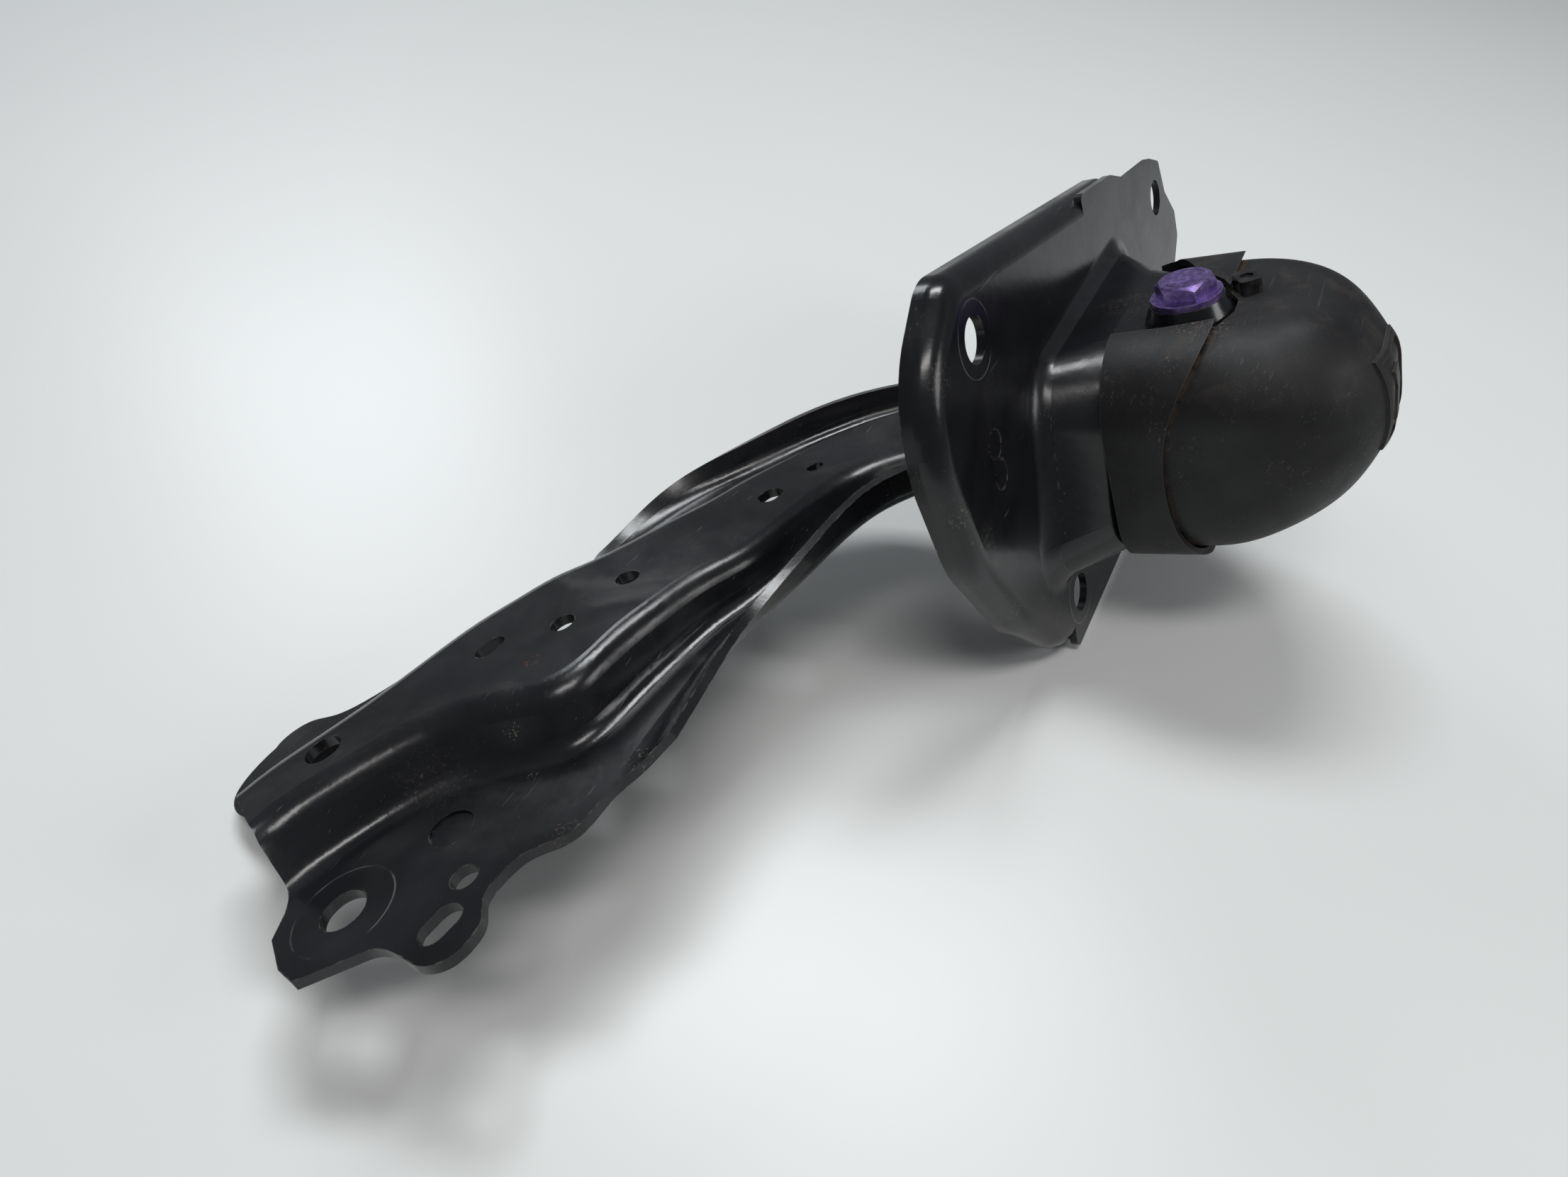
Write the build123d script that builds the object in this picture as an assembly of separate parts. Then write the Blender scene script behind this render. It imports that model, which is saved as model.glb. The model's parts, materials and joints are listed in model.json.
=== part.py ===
from build123d import *
import math
import os

# Rear trailing arm with its bush, mounting bracket and cover. Lengths in mm.
# Design frame: origin at the bush centre, X along the flange normal, Y along the flange
# width, Z along the pivot bolt. At the end the origin moves to the first fixing hole and every
# piece is turned by REST_TILT about Y, so that +Z points up when the part lies on its flange
# edge and the heel of its arm.
REST_TILT = 22.694
ARM_ANGLE = 229.0  # arm direction about the bolt, seen from the bolt head

# Pressed arm
SHEET = 3.5
EYE_OD = 62.0
EYE_ID = 55.0
EYE_LENGTH = 44.0
KNUCKLE_HOLES = ((326.9, 61.3), (341.0, -17.5))
KNUCKLE_DIAMETER = 14.0

# Bush
OUTER_SLEEVE_ID = 51.6
OUTER_SLEEVE_LENGTH = 41.0
INNER_SLEEVE_OD = 21.0
INNER_SLEEVE_ID = 12.6
INNER_SLEEVE_LENGTH = 76.0
RUBBER_LENGTH = 40.0
RUNNING_GAP = 0.04

# Bracket pressing
PLATE_FRONT = -44.3
PLATE = 3.0
RIM_DEPTH = 12.0
FIXING_HOLE = 15.5
STAMPS = ((-80.7, 33.3), (-81.4, 22.2))
FIXING_HOLES = ((-76.3, 68.6), (137.7, 31.4), (-39.7, -60.1))
POT_END = 15.5
POT_SEAT = 41.0

# Pivot bolt M12, nut and washers
BOLT_DIAMETER = 12.0
BOLT_FLATS = 18.0
HEAD_HEIGHT = 7.5
NUT_HEIGHT = 10.0
WASHER_OD = 24.0
WASHER_THICKNESS = 2.5

# Cover
COVER_WALL = 2.4
COVER_MOUTH = -22.0
COVER_GAP = 0.3
DOME_WALL = 1.8
TIP_MARK_HEIGHT = 0.8

# Arm stations: distance from the bush, web back corner, web front corner, front foot,
# web height, back rim edge, front rim edge, rim slope in degrees, rim length
STATIONS = (
    (31.2, -33, -3, 1, 12.0, -48, 12, 84, 10.5),
    (52, -53, -17, -13, 13.0, -68, -2, 84, 11),
    (72, -65, -25, -21, 14.5, -80, -9.5, 84, 11),
    (90, -70.5, -27.5, -23, 16.5, -86, -11.5, 84, 11.5),
    (106, -72, -31, -26, 18.2, -87.5, -12.5, 84, 12),
    (124, -69.5, -32, -26, 20.2, -88, -12, 84, 12),
    (142, -63.5, -23.5, -17, 22.8, -87.5, -4, 80, 11.5),
    (160, -57, -10.5, -6.5, 25.6, -88, 8, 72, 11),
    (178, -48.5, 1.5, 4, 28.4, -88, 19.5, 60, 10.5),
    (195, -42.5, 7.5, 10, 31.0, -83.5, 31, 44, 10),
    (212, -37, 16.3, 19, 33.0, -75, 46, 26, 9.5),
    (228, -34.5, 25.5, 29, 34.3, -67, 62, 12, 10),
    (240, -35, 33.5, 37, 34.5, -66, 76, 4, 12),
    (253, -32.5, 35.5, 41.5, 34.5, -66, 90, 1, 12),
    (268, -29, 29.5, 36.5, 34.5, -66, 100, 1, 12),
    (285, -22, 23.5, 31, 34.5, -66, 104, 1, 12),
    (305, -12.5, 23.8, 29.5, 34.5, -66, 104, 1, 12),
    (325, -5, 27.5, 33.5, 34.5, -66, 104, 1, 12),
    (346, 3.2, 36.5, 43, 34.5, -66, 104, 1, 12),
    (372, 13, 47, 54, 34.5, -66, 104, 1, 12),
)


def ramp(value, low, high):
    t = min(1.0, max(0.0, (value - low) / (high - low)))
    return t * t * (3 - 2 * t)


def blend(a, b, t):
    return tuple(p + (q - p) * t for p, q in zip(a, b))


def unit(a, b):
    length = math.dist(a, b)
    return ((b[0] - a[0]) / length, (b[1] - a[1]) / length)


def beside(point, direction, depth):
    """The point moved by a depth to the right of a direction."""
    return (point[0] + direction[1] * depth, point[1] - direction[0] * depth)


def bent_line(corners, cuts, depth):
    """Points of a bent sheet line: a straight, then for each corner an arc and a straight."""
    points = [beside(corners[0], unit(corners[0], corners[1]), depth)]
    for i, cut in enumerate(cuts, start=1):
        corner = corners[i]
        coming = unit(corners[i - 1], corner)
        going = unit(corner, corners[i + 1])
        start = (corner[0] - coming[0] * cut, corner[1] - coming[1] * cut)
        end = (corner[0] + going[0] * cut, corner[1] + going[1] * cut)
        cross = coming[0] * going[1] - coming[1] * going[0]
        turn = math.acos(max(-1.0, min(1.0, coming[0] * going[0] + coming[1] * going[1])))
        radius = cut / math.tan(turn / 2) * (-1 if cross > 0 else 1)
        centre = beside(start, coming, radius)
        middle = unit(centre, corner)
        reach = abs(radius) - depth * (-1 if cross > 0 else 1)
        arc_middle = (centre[0] + middle[0] * reach, centre[1] + middle[1] * reach)
        points += [beside(start, coming, depth), arc_middle, beside(end, going, depth)]
    points.append(beside(corners[-1], unit(corners[-2], corners[-1]), depth))
    return points


def bent_edges(s, points):
    placed = [Vector(s, n, z) for n, z in points]
    edges = [Edge.make_line(placed[0], placed[1])]
    for i in range(1, len(placed) - 1, 3):
        edges.append(Edge.make_three_point_arc(placed[i], placed[i + 1], placed[i + 2]))
        edges.append(Edge.make_line(placed[i + 2], placed[i + 3]))
    return edges


def arm_section(station):
    s, back, front, front_foot, top, rim_back, rim_front, slope, rim = station
    rise = ramp(s, 100, 235)
    foot = top - 7 - 13 * rise
    lean = 4 + 2 * rise
    run = rim * math.cos(math.radians(slope))
    lift = rim * math.sin(math.radians(slope))
    corners = [
        (rim_back, foot + lift),
        (rim_back + run, foot),
        (back - lean, foot),
        (back, top),
        (front, top),
        (front_foot, foot),
        (rim_front - run, foot),
        (rim_front, foot + lift),
    ]
    web_cut = 4 + 2.5 * rise
    foot_cut = 3 + 2 * rise
    cuts = (4.5, foot_cut, web_cut, web_cut, foot_cut, 4.5)
    upper = bent_edges(s, bent_line(corners, cuts, 0))
    lower = bent_edges(s, bent_line(corners, cuts, SHEET))
    near_end = Edge.make_line(upper[-1] @ 1, lower[-1] @ 1)
    back_end = Edge.make_line(lower[0] @ 0, upper[0] @ 0)
    return Wire(upper + [near_end] + lower[::-1] + [back_end])


def arm_outline():
    """Plan view of the knuckle end, in arm coordinates."""
    near = Spline(
        (214, 60), (225, 58.5), (236.4, 63), (246, 66.8), (254.3, 73), (262, 76.2), (273.2, 75),
        (281.6, 78.6), (286.8, 84), (287.8, 91), (292, 96.6), (299.3, 99.2), (305.5, 96.6),
        (311, 89), (317.5, 82.6), (322, 81.4),
    )
    heel = Spline((344.6, 33), (350, 18), (358, -2), (366.5, -13), (369, -24), (365, -34), (356, -43.5))
    back = Spline(
        (356, -43.5), (351, -48.8), (343, -50.6), (334, -47), (322, -46.5), (305, -51), (285, -57.5),
        (262, -59), (244, -57.5), (222, -70), (205, -90),
    )
    straight = Polyline((322, 81.4), (341, 79), (345.2, 72), (348.2, 58.7), (345, 50), (343.8, 42.7), (344.6, 33))
    rest = Polyline((205, -90), (205, -150), (-20, -150), (-20, 110), (214, 110), (214, 60))
    return make_face(near + straight + heel + back + rest)


def pin_cut(s, n, diameter, low=-20, high=60):
    return Pos(s, n, (low + high) / 2) * Cylinder(diameter / 2, high - low)


def slot_cut(s, n, length, width, turn, low=-20, high=60):
    return extrude(Pos(s, n, low) * Rot(0, 0, turn) * SlotOverall(length, width), high - low)


def solid_loft(wires):
    return Solid.make_loft(wires)


def make_arm():
    arm = Solid.make_loft([arm_section(station) for station in STATIONS])
    arm = arm & (Pos(0, 0, -40) * extrude(arm_outline(), 120))
    for s, n, diameter in ((323.8, 9.1, 12), (241.6, 2.6, 8.5), (216.6, -8.2, 8.5)):
        arm -= pin_cut(s, n, diameter)
    for s, n, length, width, turn in (
        (266.5, -4.2, 11, 7, 25),
        (157.1, -33.7, 11, 7.5, 35),
        (135.2, -45.5, 7.5, 4.6, 30),
        (299.2, 85.6, 14, 9, 32),
    ):
        arm -= slot_cut(s, n, length, width, turn)
    for s, n in KNUCKLE_HOLES:
        arm -= pin_cut(s, n, KNUCKLE_DIAMETER)
    arm -= pin_cut(291.3, 72.4, 8.6)
    arm -= pin_cut(293.7, 49.3, 14, 13.6, 30)
    return arm.solids().sort_by(SortBy.VOLUME)[-1]


def tube(outer, inner, length):
    return Cylinder(outer / 2, length) - Cylinder(inner / 2, length + 2)


def make_weld():
    """Fillet weld that fills the gap between the eye tube and the arm end."""
    height = 6.5
    start = STATIONS[0][0]
    block = Pos(start - 4, -10, 10.5) * Box(8, 32, height)
    block -= Cylinder(EYE_OD / 2, 100)
    return fillet(block.edges().filter_by(Axis.Y).sort_by(Axis.X)[-2:], 1.0)


def rounded_ring(x, corners, cuts):
    """Closed ring at one X: straights and corner arcs through corners given as Y and Z."""
    bends = []
    for i, corner in enumerate(corners):
        before, after = corners[i - 1], corners[(i + 1) % len(corners)]
        start = blend(corner, before, cuts[i] / math.dist(corner, before))
        end = blend(corner, after, cuts[i] / math.dist(corner, after))
        chord_middle = blend(start, end, 0.5)
        half = math.dist(start, end) / 2
        sagitta = math.dist(corner, chord_middle)
        radius = cuts[i] * half / sagitta
        height = radius - math.sqrt(radius * radius - half * half)
        bends.append((start, blend(chord_middle, corner, height / sagitta), end))
    edges = []
    for bend, following in zip(bends, bends[1:] + bends[:1]):
        start, middle, end = [Vector(x, y, z) for y, z in bend]
        edges.append(Edge.make_three_point_arc(start, middle, end))
        edges.append(Edge.make_line(end, Vector(x, *following[0])))
    return Wire(edges)


def box_ring(x, sides, cuts, grow=0.0, skew=0.0):
    y0, y1, z0, z1 = sides
    corners = [
        (y0 - grow, z1 + grow),
        (y0 - skew - grow, z0 - grow),
        (y1 + grow, z0 - grow),
        (y1 + grow, z1 + grow),
    ]
    return rounded_ring(x, corners, [cut + grow for cut in cuts])


POT_MOUTH = (-43.5, 59.5, -45.5, 36.5)
POT_ROOT = (-44.0, 84.0, -44.0, 36.5)
MOUTH_CUTS = (27.0, 22.0, 26.0, 24.0)
ROOT_CUTS = (16.0, 22.0, 24.0, 18.0)
ROOT_SKEW = 28.0
FLARE_LAP = 0.15  # how far the rounded root runs into the pot wall


def pot_form(grow, back, front):
    """Flared from the plate to the mouth, then slightly tapered inside the cover."""
    root = box_ring(back, POT_ROOT, ROOT_CUTS, grow, ROOT_SKEW)
    mouth = box_ring(-23, POT_MOUTH, MOUTH_CUTS, grow)
    step = box_ring(-12, POT_MOUTH, MOUTH_CUTS, grow - 2.3)
    end = box_ring(front, POT_MOUTH, MOUTH_CUTS, grow - 2.3 - (front + 12) * 0.07)
    return [Solid.make_loft(wires, ruled=True) for wires in ((root, mouth), (mouth, step), (step, end))]


def root_flare(grow, radius, x_plate, far):
    """Rounded flange between the plate and the pot, as stacked rings."""
    wires = []
    for angle in (0, 15, 30, 45, 60, 75, 90):
        a = math.radians(angle)
        x = x_plate + radius * (1 - math.cos(a))
        share = (x - far) / (-23 - far)
        sides = blend(POT_ROOT, POT_MOUTH, share)
        cuts = blend(ROOT_CUTS, MOUTH_CUTS, share)
        out = grow + radius * (1 - math.sin(a)) - FLARE_LAP
        wires.append(box_ring(x, sides, cuts, out, ROOT_SKEW * (1 - share)))
    return Solid.make_loft(wires)


def plate_prism(points, radius, x0, x1, soft=(), soft_radius=0):
    """Prism along X from a polygon in Y and Z, with its soft corners rounded more widely."""
    face = make_face(Polyline(*points, close=True))
    sharp = [v for v in face.vertices() if (round(v.X, 3), round(v.Y, 3)) not in soft]
    face = fillet(sharp, radius)
    for point in soft:
        corner = face.vertices().sort_by_distance(Vector(*point, 0))[0]
        face = fillet(corner, soft_radius)
    placed = Plane((x0, 0, 0), x_dir=(0, 1, 0), z_dir=(1, 0, 0)) * face
    return extrude(placed, x1 - x0, dir=(1, 0, 0))


RIM_OUTER = (
    (-82, 92), (-112, 72), (-119, 42), (-114, 4), (-92, -38), (-58, -78), (20, -78), (100, -34), (96, 60),
)
RIM_INNER = (
    (-81, 88.7), (-109.5, 70), (-116, 41.8), (-111.1, 5), (-89.5, -36.2), (-56.5, -75), (19, -75),
    (97, -32), (93, 57.2),
)
RIM_OPEN = ((-66, -130), (150, -130), (150, 130), (87, 130), (78, 40), (-40, -60))
WING = (
    (40, 50), (40, 70), (79, 63.5), (98, 55.5), (136, 50), (150, 44), (154, 28), (166, 14),
    (166, 2), (148, -14), (132, -50), (104, -78), (-54, -78), (-50, -60), (60, -40),
)


def make_bracket():
    back = PLATE_FRONT - PLATE
    far = PLATE_FRONT - RIM_DEPTH
    tray = plate_prism(RIM_OUTER, 16, far, PLATE_FRONT, RIM_OUTER[1:6], 42)
    tray = fillet(tray.faces().sort_by(Axis.X)[-1].edges(), 8)
    hollow = plate_prism(RIM_INNER, 13, far - 5, back, RIM_INNER[1:6], 39)
    hollow = fillet(hollow.faces().sort_by(Axis.X)[-1].edges(), 5)
    tray -= hollow
    open_face = make_face(Polyline(*RIM_OPEN, close=True))
    open_face = Plane((back - 30, 0, 0), x_dir=(0, 1, 0), z_dir=(1, 0, 0)) * open_face
    tray -= extrude(open_face, 30, dir=(1, 0, 0))
    bracket = tray + plate_prism(WING, 3, back, PLATE_FRONT)
    for piece in pot_form(0, back + 1, POT_END):
        bracket += piece
    bracket += root_flare(0, 6, PLATE_FRONT, back + 1)
    bracket += upright_cone(18, 12.6, 27, POT_SEAT)
    bracket -= upright_cone(19, 16, -60, -POT_SEAT)
    flare, neck, end = pot_form(-PLATE, back - 4, POT_END + 1)
    inside = flare + neck + end + root_flare(-PLATE, 6 + PLATE, back, back - 4)
    inside += upright_cone(15, 10.8, 20, POT_SEAT - PLATE)
    inside -= upright_cone(21, 19, -60, PLATE - POT_SEAT)
    bracket -= inside
    bracket -= Cylinder(BOLT_DIAMETER / 2 + 0.5, 120)
    for y, z in FIXING_HOLES:
        bracket -= Pos(PLATE_FRONT, y, z) * Rot(0, 90, 0) * Cylinder(FIXING_HOLE / 2, 20)
    for y, z in STAMPS:
        mark = tube(10.6, 9.2, 0.6)
        bracket -= Pos(PLATE_FRONT, y, z) * Rot(0, 90, 0) * mark
    return bracket


def upright_cone(low_radius, high_radius, low, high):
    shape = Cone(low_radius, high_radius, high - low, align=(Align.CENTER, Align.CENTER, Align.MIN))
    return Pos(0, 0, low) * shape


def make_bush():
    outer = tube(EYE_ID, OUTER_SLEEVE_ID, OUTER_SLEEVE_LENGTH)
    inner = tube(INNER_SLEEVE_OD, INNER_SLEEVE_ID, INNER_SLEEVE_LENGTH)
    bore = INNER_SLEEVE_OD + 2 * RUNNING_GAP
    rubber = tube(OUTER_SLEEVE_ID, bore, RUBBER_LENGTH)
    for side in (1, -1):
        arc = CenterArc((0, 0), 19.6, side * 90 - 38, 76)
        void = extrude(Pos(0, 0, -40) * SlotArc(arc, 6.0), 80)
        rubber -= void
        groove = Pos(0, 0, side * RUBBER_LENGTH / 2) * (Cylinder(23.5, 5) - Cylinder(15.5, 5))
        rubber -= groove
    return outer, inner, rubber


def make_bolt():
    head = extrude(RegularPolygon(BOLT_FLATS / 2, 6, major_radius=False), HEAD_HEIGHT)
    crown = upright_cone(BOLT_FLATS / 2 + 2.6, BOLT_FLATS / 2 - 0.4, HEAD_HEIGHT - 3.0, HEAD_HEIGHT)
    body = Cylinder(30, HEAD_HEIGHT - 3.0, align=(Align.CENTER, Align.CENTER, Align.MIN)) + crown
    head = head & body
    head += Cylinder(12.0, 2.0, align=(Align.CENTER, Align.CENTER, Align.MIN))
    head -= Pos(0, 0, HEAD_HEIGHT) * tube(14.2, 12.8, 0.5)
    shank = Pos(0, 0, -POT_SEAT - 15) * Cylinder(
        BOLT_DIAMETER / 2, 2 * POT_SEAT + 15, align=(Align.CENTER, Align.CENTER, Align.MIN)
    )
    shank = chamfer(shank.edges().sort_by(Axis.Z)[0], 1.2)
    return Pos(0, 0, POT_SEAT) * head + shank


SPLIT_LINE = ((12, 70), (12, 39), (9, 34), (1, 18), (-3, 0), (-3, -18), (1, -36), (5, -47), (5, -70))
TOP_NOTCH = (
    (-40, 62), (-15, 50), (-4, 32), (9, 17), (15.6, 5), (15.8, -4), (12, -14.5), (-4, -17.6), (-40, -19.5),
)
LOW_NOTCH = ((-40, 34), (-10, 24), (8, 16), (17, 6), (17, -6), (9, -16), (-6, -18.5), (-40, -20))
DOME_RINGS = (
    (-10, (-43.2, 59.2, -45.2, 36.2), (27, 22, 26, 24)),
    (-2, (-43.1, 59.1, -45.1, 36.2), (27, 22, 26, 24)),
    (6, (-43.0, 59.0, -45.0, 36.2), (27, 22, 26, 24)),
    (16, (-42.6, 58.4, -44.6, 36.1), (27, 23, 26, 24)),
    (30, (-40.2, 55.4, -42.0, 35.3), (28, 27, 28, 26)),
    (43, (-34.6, 48.4, -36.6, 32.2), (29, 28, 28, 27)),
    (53, (-25.4, 38.4, -28.4, 24.8), (24, 24, 24, 24)),
    (59.5, (-14.6, 27, -18.4, 15.8), (15.5, 15.5, 15.5, 15.5)),
    (62.5, (-5.5, 16.5, -9.5, 8.5), (8.4, 8.4, 8.4, 8.4)),
)


def mouth_prism(grow, x0, x1):
    face = Face(box_ring(x0, POT_MOUTH, MOUTH_CUTS, grow))
    return extrude(face, x1 - x0, dir=(1, 0, 0))


def dome_form(grow):
    wires = []
    for x, sides, cuts in DOME_RINGS:
        wires.append(box_ring(x + grow * 0.9 * ramp(x, 30, 62), sides, cuts, grow))
    return solid_loft(wires)


def plan_prism(points, low, high, radius=3.0):
    face = make_face(Polyline(*points, close=True))
    return extrude(Pos(0, 0, low) * fillet(face.vertices(), radius), high - low)


def behind_split(shift):
    """Everything on the bracket side of the cover split, moved along X."""
    curve = Spline(*[(x + shift, z) for x, z in SPLIT_LINE[1:-1]])
    first, last = curve @ 0, curve @ 1
    corners = ((last.X, last.Y), (last.X, -70), (-90, -70), (-90, 70), (first.X, 70), (first.X, first.Y))
    border = Polyline(*corners)
    face = Plane.XZ * make_face(curve + border)
    return extrude(face, 150, both=True)


def make_cover():
    skirt = mouth_prism(COVER_GAP + COVER_WALL, COVER_MOUTH, 20) & behind_split(0)
    skirt -= mouth_prism(COVER_GAP, COVER_MOUTH - 1, 21)
    dome = dome_form(0) - dome_form(-DOME_WALL)
    for notch, low, high in ((TOP_NOTCH, 12, 70), (LOW_NOTCH, -70, -12)):
        cut = plan_prism(notch, low, high, 2.5)
        skirt -= cut
        dome -= cut
    return skirt, dome


def make_tip_mark():
    """Raised frame, chevron and dot that follow the cover tip."""
    shell = dome_form(TIP_MARK_HEIGHT) - dome_form(0)
    frame = Pos(40, 2.5, 0) * (Box(80, 27, 33) - Box(90, 22.5, 28.5))
    chevron = make_face(Polyline((-4, -9), (3.5, -9), (9.5, 0), (3.5, 9), (-4, 9), (2, 0), close=True))
    chevron = extrude(Plane((30, 0, 0), x_dir=(0, 1, 0), z_dir=(1, 0, 0)) * chevron, 50, dir=(1, 0, 0))
    return shell & (frame + chevron)


def make_latch():
    block = Pos(17.1, 13.6, 38) * Rot(0, 0, 29) * Box(7.5, 11, 6)
    block = fillet(block.edges().filter_by(Axis.Z), 2)
    block -= dome_form(0)
    block -= Pos(17.1, 13.6, 41) * Cylinder(2.2, 1.6)
    return block


def make_nut():
    nut = extrude(RegularPolygon(BOLT_FLATS / 2, 6, major_radius=False), NUT_HEIGHT)
    crown = upright_cone(BOLT_FLATS / 2 + 2.6, BOLT_FLATS / 2 - 0.4, NUT_HEIGHT - 3.0, NUT_HEIGHT)
    nut &= Cylinder(30, NUT_HEIGHT - 3.0, align=(Align.CENTER, Align.CENTER, Align.MIN)) + crown
    nut -= Cylinder(BOLT_DIAMETER / 2, 60)
    return Pos(0, 0, -POT_SEAT - WASHER_THICKNESS) * Rot(180, 0, 0) * nut


def place_arm(shape):
    return place(Rot(0, 0, ARM_ANGLE) * shape)


def place(shape):
    """Moves the origin to the first fixing hole, then lays the part on its flange edge and arm heel."""
    y, z = FIXING_HOLES[0]
    return Rot(0, -REST_TILT, 0) * Pos(PLATE / 2 - PLATE_FRONT, -y, -z) * shape


if __name__ == "__main__":
    os.makedirs("parts", exist_ok=True)
    arm = make_arm()
    outer, inner, rubber = make_bush()
    skirt, dome = make_cover()
    skirt_sides = skirt.solids().sort_by(Axis.Y)
    washer = tube(WASHER_OD, BOLT_DIAMETER + 1, WASHER_THICKNESS)
    washer = Pos(0, 0, -POT_SEAT - WASHER_THICKNESS / 2) * washer
    pieces = {
        "trailing_arm": place_arm(arm),
        "eye_tube": place_arm(tube(EYE_OD, EYE_ID, EYE_LENGTH)),
        "eye_weld": place_arm(make_weld()),
        "bush_outer_sleeve": place_arm(outer),
        "bush_rubber": place_arm(rubber),
        "bush_inner_sleeve": place(inner),
        "mount_bracket": place(make_bracket()),
        "pivot_bolt": place(make_bolt()),
        "nut_washer": place(washer),
        "pivot_nut": place(make_nut()),
        "cover_near_side": place(skirt_sides[0]),
        "cover_far_side": place(skirt_sides[-1]),
        "cover_dome": place(dome),
        "cover_tip_mark": place(make_tip_mark()),
        "cover_latch": place(make_latch()),
    }
    for name, shape in pieces.items():
        export_step(shape, f"parts/{name}.step")
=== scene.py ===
import bpy
import json
import math
from mathutils import Matrix, Vector


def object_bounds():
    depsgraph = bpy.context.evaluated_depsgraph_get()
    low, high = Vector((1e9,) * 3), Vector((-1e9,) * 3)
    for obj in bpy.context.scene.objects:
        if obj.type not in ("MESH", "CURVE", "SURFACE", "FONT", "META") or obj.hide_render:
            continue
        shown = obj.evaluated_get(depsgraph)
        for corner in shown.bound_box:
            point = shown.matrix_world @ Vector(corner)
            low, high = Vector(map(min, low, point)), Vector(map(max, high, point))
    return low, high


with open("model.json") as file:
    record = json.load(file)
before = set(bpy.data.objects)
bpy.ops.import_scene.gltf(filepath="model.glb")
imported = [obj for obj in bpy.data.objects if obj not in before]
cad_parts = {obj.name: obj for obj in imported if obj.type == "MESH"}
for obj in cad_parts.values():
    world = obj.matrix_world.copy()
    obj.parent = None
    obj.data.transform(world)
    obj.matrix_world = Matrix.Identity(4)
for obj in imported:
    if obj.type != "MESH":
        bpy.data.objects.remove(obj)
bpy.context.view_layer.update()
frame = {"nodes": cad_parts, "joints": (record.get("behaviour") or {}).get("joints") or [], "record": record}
nodes = frame["nodes"]

# Places of the part's design frame, in mm: origin at the bush centre, X along the flange normal,
# Y along the flange width, Z along the pivot bolt
FIXING_1 = (-76.3, 68.6)
FIXING_3 = (-39.7, -60.1)
STAMPS = ((-80.7, 33.3), (-81.4, 22.2))
PLATE_FRONT = -44.3
PLATE_MIDDLE = -45.8
KNUCKLE_TOP = 14.5
ARM_TURN = math.radians(49)

axis = Vector(frame["joints"][0]["axis"]).normalized()  # pivot bolt, towards its head
TILT = math.atan2(-axis.x, axis.z)


def lean(x, y, z):
    """A direction of the design frame in the row frame."""
    c, s = math.cos(TILT), math.sin(TILT)
    return Vector((x * c - z * s, y, x * s + z * c))


hole = next(m for m in frame["record"]["mounts"] if m["name"] == "body_bolt_hole_1")


def row(x, y, z):
    """A point of the design frame, in mm, as a point of the row frame, in metres."""
    return lean(x - PLATE_MIDDLE, y - FIXING_1[0], z - FIXING_1[1]) / 1000 + Vector(hole["pos_m"])


def arm_row(s, n, z):
    """A point of the arm: distance from the bush, offset to the front, height. All in mm."""
    c, w = math.cos(ARM_TURN), math.sin(ARM_TURN)
    return row(w * n - c * s, -w * s - c * n, z)


# Node helpers

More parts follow.
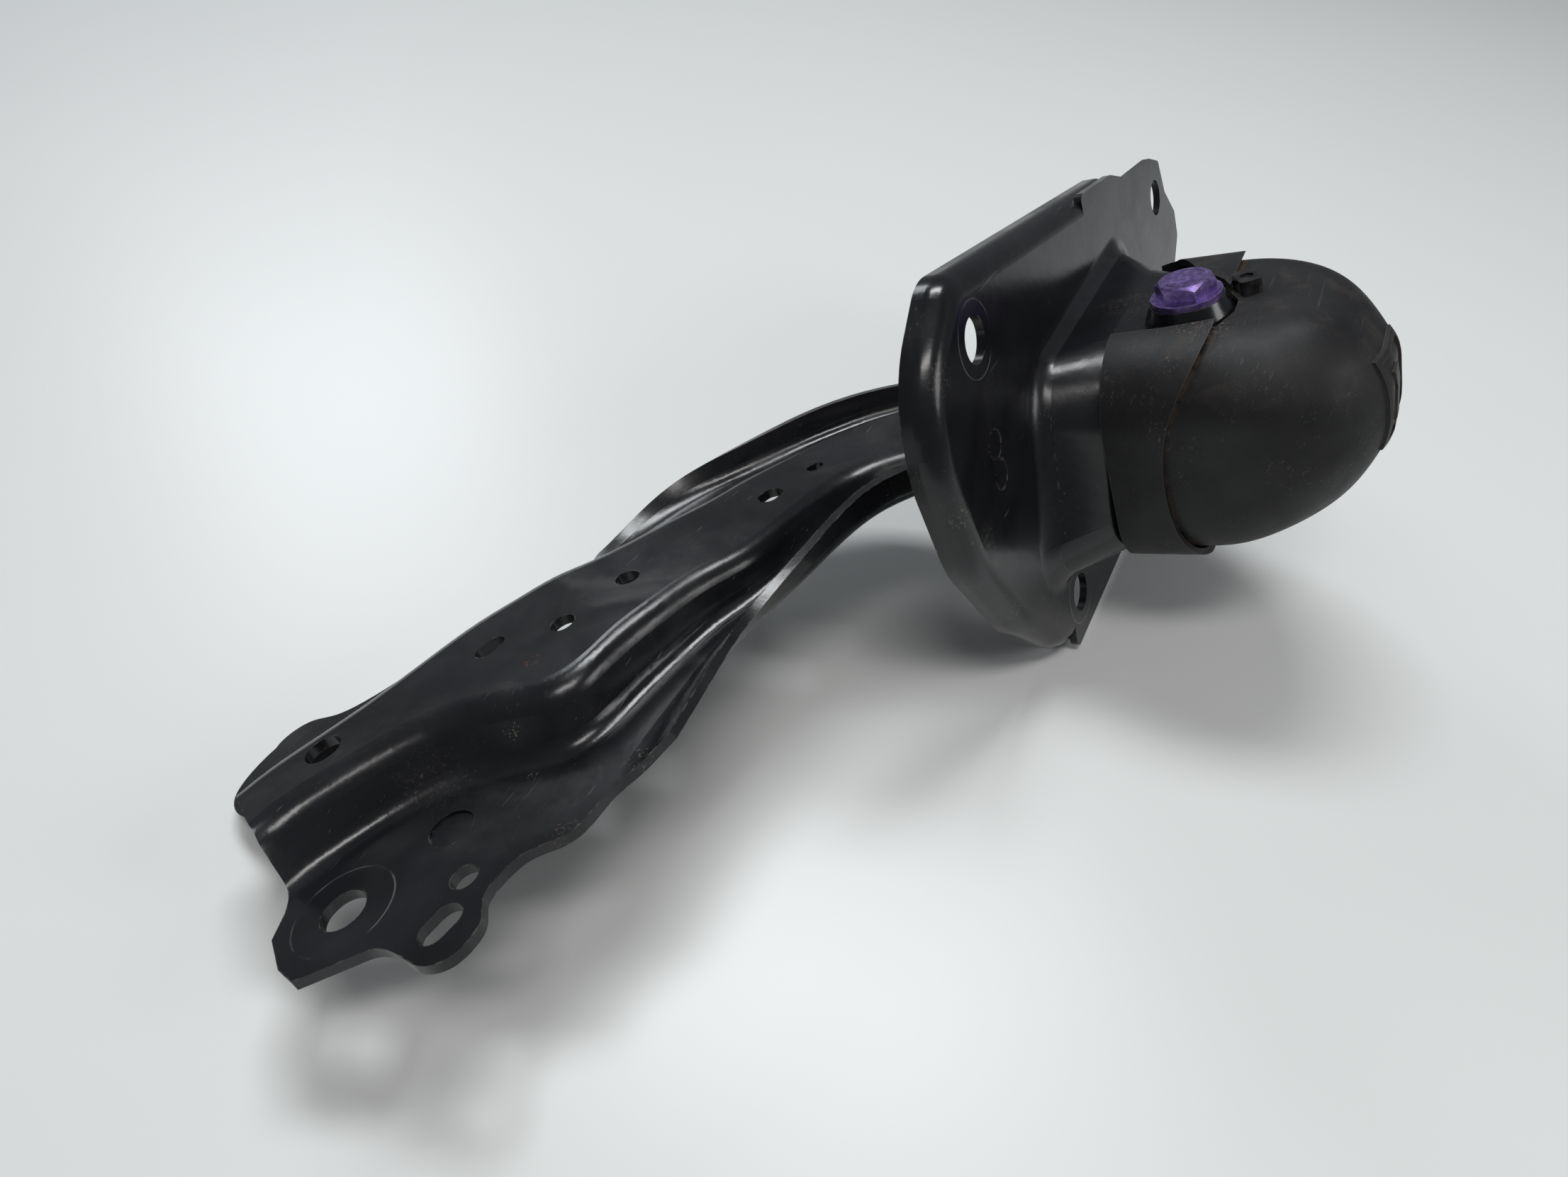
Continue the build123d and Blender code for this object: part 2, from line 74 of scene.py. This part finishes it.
class Tree:
    """Small wrapper that adds and links shader nodes."""

    def __init__(self, name):
        self.material = bpy.data.materials.new(name)
        self.material.use_nodes = True
        self.nodes = self.material.node_tree.nodes
        self.links = self.material.node_tree.links
        self.shader = self.nodes["Principled BSDF"]
        self.coords = self.nodes.new("ShaderNodeTexCoord").outputs["Object"]

    def put(self, socket, value):
        if isinstance(value, bpy.types.NodeSocket):
            self.links.new(value, socket)
        elif socket.type == "RGBA" and len(value) == 3:
            socket.default_value = (*value, 1)
        else:
            socket.default_value = value

    def place(self, scale=(1, 1, 1), turn=(0, 0, 0)):
        node = self.nodes.new("ShaderNodeMapping")
        self.put(node.inputs["Vector"], self.coords)
        node.inputs["Scale"].default_value = scale
        node.inputs["Rotation"].default_value = turn
        return node.outputs[0]

    def noise(self, scale, detail=4, rough=0.55, vector=None, warp=0.0):
        node = self.nodes.new("ShaderNodeTexNoise")
        self.put(node.inputs["Vector"], vector or self.coords)
        node.inputs["Scale"].default_value = scale
        node.inputs["Detail"].default_value = detail
        node.inputs["Roughness"].default_value = rough
        node.inputs["Distortion"].default_value = warp
        return node.outputs["Fac"]

    def cells(self, scale, vector=None):
        node = self.nodes.new("ShaderNodeTexVoronoi")
        self.put(node.inputs["Vector"], vector or self.coords)
        node.inputs["Scale"].default_value = scale
        return node.outputs["Distance"]

    def band(self, value, low, high, to_low=0.0, to_high=1.0):
        node = self.nodes.new("ShaderNodeMapRange")
        node.interpolation_type = "SMOOTHSTEP"
        self.put(node.inputs["Value"], value)
        node.inputs["From Min"].default_value = low
        node.inputs["From Max"].default_value = high
        node.inputs["To Min"].default_value = to_low
        node.inputs["To Max"].default_value = to_high
        return node.outputs[0]

    def math(self, kind, a, b=0.0):
        node = self.nodes.new("ShaderNodeMath")
        node.operation = kind
        node.use_clamp = kind == "ADD"
        self.put(node.inputs[0], a)
        self.put(node.inputs[1], b)
        return node.outputs[0]

    def mix(self, mask, a, b):
        node = self.nodes.new("ShaderNodeMix")
        node.data_type = "RGBA"
        self.put(node.inputs["Factor"], mask)
        self.put(node.inputs["A"], a)
        self.put(node.inputs["B"], b)
        return node.outputs["Result"]

    def bump(self, height, strength, distance=0.001, normal=None):
        node = self.nodes.new("ShaderNodeBump")
        self.put(node.inputs["Height"], height)
        node.inputs["Strength"].default_value = strength
        node.inputs["Distance"].default_value = distance
        if normal:
            self.put(node.inputs["Normal"], normal)
        return node.outputs[0]

    def edges(self, radius, low, high):
        """Mask of sharp edges: where a rounded normal leaves the true one."""
        bevel = self.nodes.new("ShaderNodeBevel")
        bevel.samples = 4
        bevel.inputs["Radius"].default_value = radius
        geometry = self.nodes.new("ShaderNodeNewGeometry")
        dot = self.nodes.new("ShaderNodeVectorMath")
        dot.operation = "DOT_PRODUCT"
        self.put(dot.inputs[0], bevel.outputs[0])
        self.put(dot.inputs[1], geometry.outputs["Normal"])
        return self.band(dot.outputs["Value"], high, low)

    def crevice(self, reach, low, high):
        """Mask of corners and gaps that dust settles in."""
        node = self.nodes.new("ShaderNodeAmbientOcclusion")
        node.samples = 6
        node.inputs["Distance"].default_value = reach
        return self.band(node.outputs["AO"], high, low)

    def upward(self, low, high):
        geometry = self.nodes.new("ShaderNodeNewGeometry")
        split = self.nodes.new("ShaderNodeSeparateXYZ")
        self.put(split.inputs[0], geometry.outputs["Normal"])
        return self.band(split.outputs["Z"], low, high)

    def near(self, centre, radius, soft=0.4):
        """Mask of a ball round a point of the row frame."""
        gap = self.nodes.new("ShaderNodeVectorMath")
        gap.operation = "DISTANCE"
        self.put(gap.inputs[0], self.coords)
        gap.inputs[1].default_value = centre
        return self.band(gap.outputs["Value"], radius * (1 + soft), radius * (1 - soft))

    def ring(self, centre, radius, width):
        """Mask of a thin shell round a point of the row frame."""
        gap = self.nodes.new("ShaderNodeVectorMath")
        gap.operation = "DISTANCE"
        self.put(gap.inputs[0], self.coords)
        gap.inputs[1].default_value = centre
        off = self.math("ABSOLUTE", self.math("SUBTRACT", gap.outputs["Value"], radius))
        return self.band(off, width, width * 0.3)


def scratches(tree, scale, turn, amount):
    """Thin straight marks along one direction."""
    vector = tree.place(scale=(scale, scale * 0.02, scale * 0.5), turn=turn)
    lines = tree.noise(1.0, 2, 0.5, vector)
    broken = tree.noise(60, 3)
    kept = tree.band(lines, amount, amount + 0.03)
    return tree.math("MULTIPLY", kept, tree.band(broken, 0.5, 0.62))


def spotted(tree, base, spots):
    """Crumbs of dirt, rust or bare metal inside balls round given points."""
    for centre, radius, colour, amount in spots:
        crumbs = tree.band(tree.noise(900, 3, 0.7), 0.54, 0.68)
        patch = tree.math("MULTIPLY", tree.near(centre, radius), crumbs)
        base = tree.mix(tree.math("MULTIPLY", patch, amount), base, colour)
    return base


def painted_steel(name, dust, spots=(), rings=()):
    t = Tree(name)
    tone = t.noise(22, 5, 0.6, warp=0.4)
    base = t.mix(t.band(tone, 0.3, 0.72), (0.0035, 0.0038, 0.0048), (0.010, 0.0105, 0.0125))
    smudge = t.noise(11, 6, 0.65, warp=1.2)
    haze = t.math("MULTIPLY", t.band(smudge, 0.48, 0.75), t.upward(-0.1, 0.9))
    base = t.mix(t.math("MULTIPLY", haze, 0.045 * dust), base, (0.20, 0.19, 0.18))
    specks = t.band(t.cells(520), 0.10, 0.03)
    specks = t.math("MULTIPLY", specks, t.band(t.noise(38, 4), 0.52, 0.68))
    base = t.mix(t.math("MULTIPLY", specks, 0.35 * dust), base, (0.30, 0.25, 0.20))
    fine = scratches(t, 1300, (0.2, 0.4, 0.6), 0.70)
    crossing = scratches(t, 1100, (1.1, 0.2, 2.0), 0.71)
    marks = t.math("ADD", fine, crossing)
    base = t.mix(t.math("MULTIPLY", marks, 0.22), base, (0.24, 0.24, 0.24))
    wear = t.math("MULTIPLY", t.edges(0.0008, 0.80, 0.97), t.band(t.noise(240, 4, 0.7), 0.47, 0.66))
    base = t.mix(t.math("MULTIPLY", wear, 0.5), base, (0.24, 0.21, 0.18))
    base = spotted(t, base, spots)
    for centre, radius, width in rings:
        arc = t.math("MULTIPLY", t.ring(centre, radius, width), t.band(t.noise(45, 3), 0.42, 0.6))
        base = t.mix(t.math("MULTIPLY", arc, 0.28), base, (0.30, 0.29, 0.28))
    t.put(t.shader.inputs["Base Color"], base)
    rough = t.band(t.noise(35, 5, 0.6, warp=0.5), 0.3, 0.7, 0.18, 0.27)
    rough = t.math("ADD", rough, t.math("MULTIPLY", haze, 0.16))
    rough = t.math("ADD", rough, t.math("MULTIPLY", wear, 0.25))
    t.put(t.shader.inputs["Roughness"], rough)
    peel = t.bump(t.noise(300, 3, 0.5), 0.06, 0.0006)
    t.put(t.shader.inputs["Normal"], t.bump(t.noise(1500, 2), 0.05, 0.0003, peel))
    t.shader.inputs["Specular IOR Level"].default_value = 0.48
    return t.material


def matt_plastic(name, spots=()):
    t = Tree(name)
    tone = t.noise(28, 5, 0.6)
    base = t.mix(t.band(tone, 0.3, 0.7), (0.0040, 0.0040, 0.0046), (0.0095, 0.0095, 0.0105))
    dirt = t.math("MULTIPLY", t.band(t.noise(70, 6, 0.7, warp=0.8), 0.5, 0.68), t.upward(0.0, 0.8))
    base = t.mix(t.math("MULTIPLY", dirt, 0.14), base, (0.10, 0.075, 0.055))
    specks = t.band(t.cells(700), 0.12, 0.04)
    base = t.mix(t.math("MULTIPLY", specks, 0.12), base, (0.22, 0.19, 0.16))
    fine = scratches(t, 1100, (0.4, 0.1, 1.1), 0.65)
    crossing = scratches(t, 900, (0.9, 0.5, 0.2), 0.66)
    marks = t.math("ADD", fine, crossing)
    base = t.mix(t.math("MULTIPLY", marks, 0.15), base, (0.16, 0.16, 0.16))
    worn = t.edges(0.0008, 0.82, 0.97)
    base = t.mix(t.math("MULTIPLY", worn, 0.3), base, (0.10, 0.10, 0.105))
    base = spotted(t, base, spots)
    silt = t.math("MULTIPLY", t.crevice(0.004, 0.35, 0.72), t.band(t.noise(160, 5, 0.7), 0.38, 0.6))
    base = t.mix(t.math("MULTIPLY", silt, 0.55), base, (0.13, 0.085, 0.05))
    t.put(t.shader.inputs["Base Color"], base)
    t.put(t.shader.inputs["Roughness"], t.band(t.noise(40, 5), 0.3, 0.7, 0.46, 0.62))
    grain = t.bump(t.cells(2600), 0.10, 0.0003)
    t.put(t.shader.inputs["Normal"], t.bump(t.noise(120, 4), 0.04, 0.0008, grain))
    t.shader.inputs["Specular IOR Level"].default_value = 0.36
    return t.material


def gloss_plastic(name):
    t = Tree(name)
    base = t.mix(t.band(t.noise(300, 4), 0.35, 0.7), (0.008, 0.008, 0.01), (0.03, 0.028, 0.027))
    t.put(t.shader.inputs["Base Color"], base)
    t.put(t.shader.inputs["Roughness"], t.band(t.noise(400, 4), 0.3, 0.7, 0.16, 0.34))
    t.put(t.shader.inputs["Normal"], t.bump(t.noise(900, 3), 0.06, 0.0003))
    return t.material


def plated_steel(name, dark, light, rough):
    t = Tree(name)
    base = t.mix(t.band(t.noise(260, 5, 0.65), 0.3, 0.72), dark, light)
    grime = t.band(t.noise(700, 5, 0.7), 0.56, 0.72)
    base = t.mix(t.math("MULTIPLY", grime, 0.5), base, (0.05, 0.045, 0.05))
    worn = t.edges(0.0006, 0.82, 0.97)
    base = t.mix(t.math("MULTIPLY", worn, 0.5), base, (0.62, 0.60, 0.62))
    t.put(t.shader.inputs["Base Color"], base)
    t.shader.inputs["Metallic"].default_value = 0.9
    t.put(t.shader.inputs["Roughness"], t.band(t.noise(500, 4), 0.3, 0.7, rough, rough + 0.18))
    t.put(t.shader.inputs["Normal"], t.bump(t.noise(1200, 4), 0.12, 0.0003))
    return t.material


def bush_rubber(name):
    t = Tree(name)
    base = t.mix(t.band(t.noise(180, 5), 0.3, 0.7), (0.008, 0.008, 0.008), (0.022, 0.021, 0.02))
    bloom = t.band(t.noise(60, 5, 0.7), 0.5, 0.7)
    base = t.mix(t.math("MULTIPLY", bloom, 0.3), base, (0.07, 0.066, 0.06))
    t.put(t.shader.inputs["Base Color"], base)
    t.put(t.shader.inputs["Roughness"], t.band(t.noise(90, 4), 0.3, 0.7, 0.62, 0.8))
    t.put(t.shader.inputs["Normal"], t.bump(t.noise(1400, 4), 0.15, 0.0004))
    return t.material


def weld_metal(name):
    t = Tree(name)
    base = t.mix(t.band(t.noise(200, 5), 0.3, 0.7), (0.010, 0.010, 0.011), (0.035, 0.03, 0.027))
    t.put(t.shader.inputs["Base Color"], base)
    t.put(t.shader.inputs["Roughness"], t.band(t.noise(300, 4), 0.3, 0.7, 0.35, 0.55))
    ripple = t.bump(t.noise(420, 2, vector=t.place(scale=(1, 1, 0.25))), 0.6, 0.0012)
    t.put(t.shader.inputs["Normal"], ripple)
    return t.material


# Materials of the CAD nodes

RUST = (0.22, 0.07, 0.03)
BARE = (0.30, 0.27, 0.24)
DUST = (0.17, 0.13, 0.095)
arm_spots = (
    (arm_row(254, 16, 34), 0.0028, RUST, 0.9),
    (arm_row(267, 33, 25), 0.003, BARE, 0.7),
    (arm_row(267, 44, KNUCKLE_TOP), 0.002, BARE, 0.3),
    (arm_row(296, 28, 19), 0.010, DUST, 0.18),
    (arm_row(235, 61, KNUCKLE_TOP), 0.005, BARE, 0.25),
    (arm_row(262, 75, KNUCKLE_TOP), 0.005, DUST, 0.3),
)
arm_rings = ((arm_row(326.9, 61.3, KNUCKLE_TOP), 0.0155, 0.0004),)
arm_paint = painted_steel("arm_paint", 1.0, arm_spots, arm_rings)
bracket_rings = [(row(PLATE_FRONT, y, z), 0.0125, 0.0004) for y, z in (FIXING_1, FIXING_3)]
bracket_rings += [(row(PLATE_FRONT, y, z), 0.005, 0.0005) for y, z in STAMPS]
bracket_spots = (
    (row(PLATE_FRONT, -103, 69), 0.005, BARE, 0.3),
    (row(-46, -113, 26), 0.004, BARE, 0.35),
    (row(PLATE_FRONT, -102, 10), 0.006, BARE, 0.2),
    (row(-47, -96, -25), 0.006, BARE, 0.2),
    (row(PLATE_FRONT, -70, -48), 0.012, DUST, 0.25),
    (row(-21, 11, 36), 0.012, DUST, 0.2),
)
bracket_paint = painted_steel("bracket_paint", 1.5, bracket_spots, bracket_rings)
cover_spots = (
    (row(0, 8, 37), 0.015, DUST, 0.6),
    (row(7, -14, 36), 0.010, DUST, 0.7),
    (row(0, -34, 33), 0.004, DUST, 0.5),
    (row(-2, -46, 14), 0.004, DUST, 0.5),
)
cover = matt_plastic("cover_plastic", cover_spots)
finishes = {
    "trailing_arm": arm_paint,
    "eye_tube": painted_steel("eye_paint", 1.2),
    "eye_weld": weld_metal("weld_paint"),
    "bush_outer_sleeve": plated_steel("sleeve_steel", (0.32, 0.31, 0.30), (0.5, 0.49, 0.47), 0.35),
    "bush_inner_sleeve": plated_steel("inner_sleeve_steel", (0.30, 0.29, 0.29), (0.48, 0.47, 0.46), 0.32),
    "bush_rubber": bush_rubber("bush_rubber"),
    "mount_bracket": bracket_paint,
    "pivot_bolt": plated_steel("bolt_zinc", (0.15, 0.09, 0.30), (0.33, 0.24, 0.56), 0.28),
    "nut_washer": plated_steel("washer_zinc", (0.2, 0.19, 0.22), (0.4, 0.38, 0.42), 0.34),
    "pivot_nut": plated_steel("nut_zinc", (0.16, 0.14, 0.2), (0.36, 0.33, 0.4), 0.32),
    "cover_near_side": cover,
    "cover_far_side": cover,
    "cover_dome": cover,
    "cover_tip_mark": cover,
    "cover_latch": gloss_plastic("latch_plastic"),
}
for name, obj in nodes.items():
    finish = finishes[name]
    for index in range(max(1, len(obj.material_slots))):
        if index < len(obj.material_slots):
            obj.material_slots[index].material = finish
        else:
            obj.data.materials.append(finish)

# Floor, light and camera

low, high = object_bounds()
floor_z = low[2]
bpy.ops.mesh.primitive_plane_add(size=30, location=(0, 0, floor_z - 0.0001))
floor = bpy.context.object
floor.name = "floor"
floor_tree = Tree("floor_white")
floor_tree.put(
    floor_tree.shader.inputs["Base Color"],
    floor_tree.mix(floor_tree.noise(3, 3), (0.70, 0.71, 0.70), (0.74, 0.745, 0.735)),
)
floor_tree.shader.inputs["Roughness"].default_value = 0.35
floor.data.materials.append(floor_tree.material)


def area_light(name, place, target, size, power, colour=(1, 1, 1), size_y=None):
    data = bpy.data.lights.new(name, "AREA")
    data.shape = "RECTANGLE"
    data.size = size
    data.size_y = size_y or size
    data.energy = power
    data.color = colour
    obj = bpy.data.objects.new(name, data)
    bpy.context.collection.objects.link(obj)
    obj.location = place
    obj.rotation_euler = (Vector(target) - Vector(place)).to_track_quat("-Z", "Y").to_euler()


centre = (-0.12, -0.08, 0.0)
area_light("ceiling", (-0.35, 0.55, 1.5), centre, 0.9, 17, (0.95, 0.98, 1.0), 0.35)
area_light("ceiling_front", (0.3, -0.6, 1.6), centre, 1.0, 11, (1.0, 0.99, 0.97), 0.3)
area_light("back_left", (-1.5, 0.9, 1.0), centre, 0.6, 7, (0.90, 0.95, 1.0))
area_light("right_side", (1.3, 0.2, 0.7), centre, 0.5, 4)
world = bpy.data.worlds.new("studio")
bpy.context.scene.world = world
world.use_nodes = True
background = world.node_tree.nodes["Background"]
background.inputs["Color"].default_value = (0.90, 0.94, 1.0, 1)
background.inputs["Strength"].default_value = 0.15

camera_data = bpy.data.cameras.new("camera")
camera_data.lens = 24.41
camera_data.sensor_width = 36
camera_data.clip_start = 0.01
camera = bpy.data.objects.new("camera", camera_data)
bpy.context.collection.objects.link(camera)
spot = row(96.1, -364.6, 200.5)
right = lean(0.826, 0.463, -0.322)
down = lean(0.036, -0.613, -0.789)
forward = lean(-0.562, 0.640, -0.524)
turn = Matrix((right, -down, -forward)).transposed().normalized()
camera.matrix_world = Matrix.Translation(spot) @ turn.to_4x4()
bpy.context.scene.camera = camera
bpy.context.scene.view_settings.view_transform = "Standard"
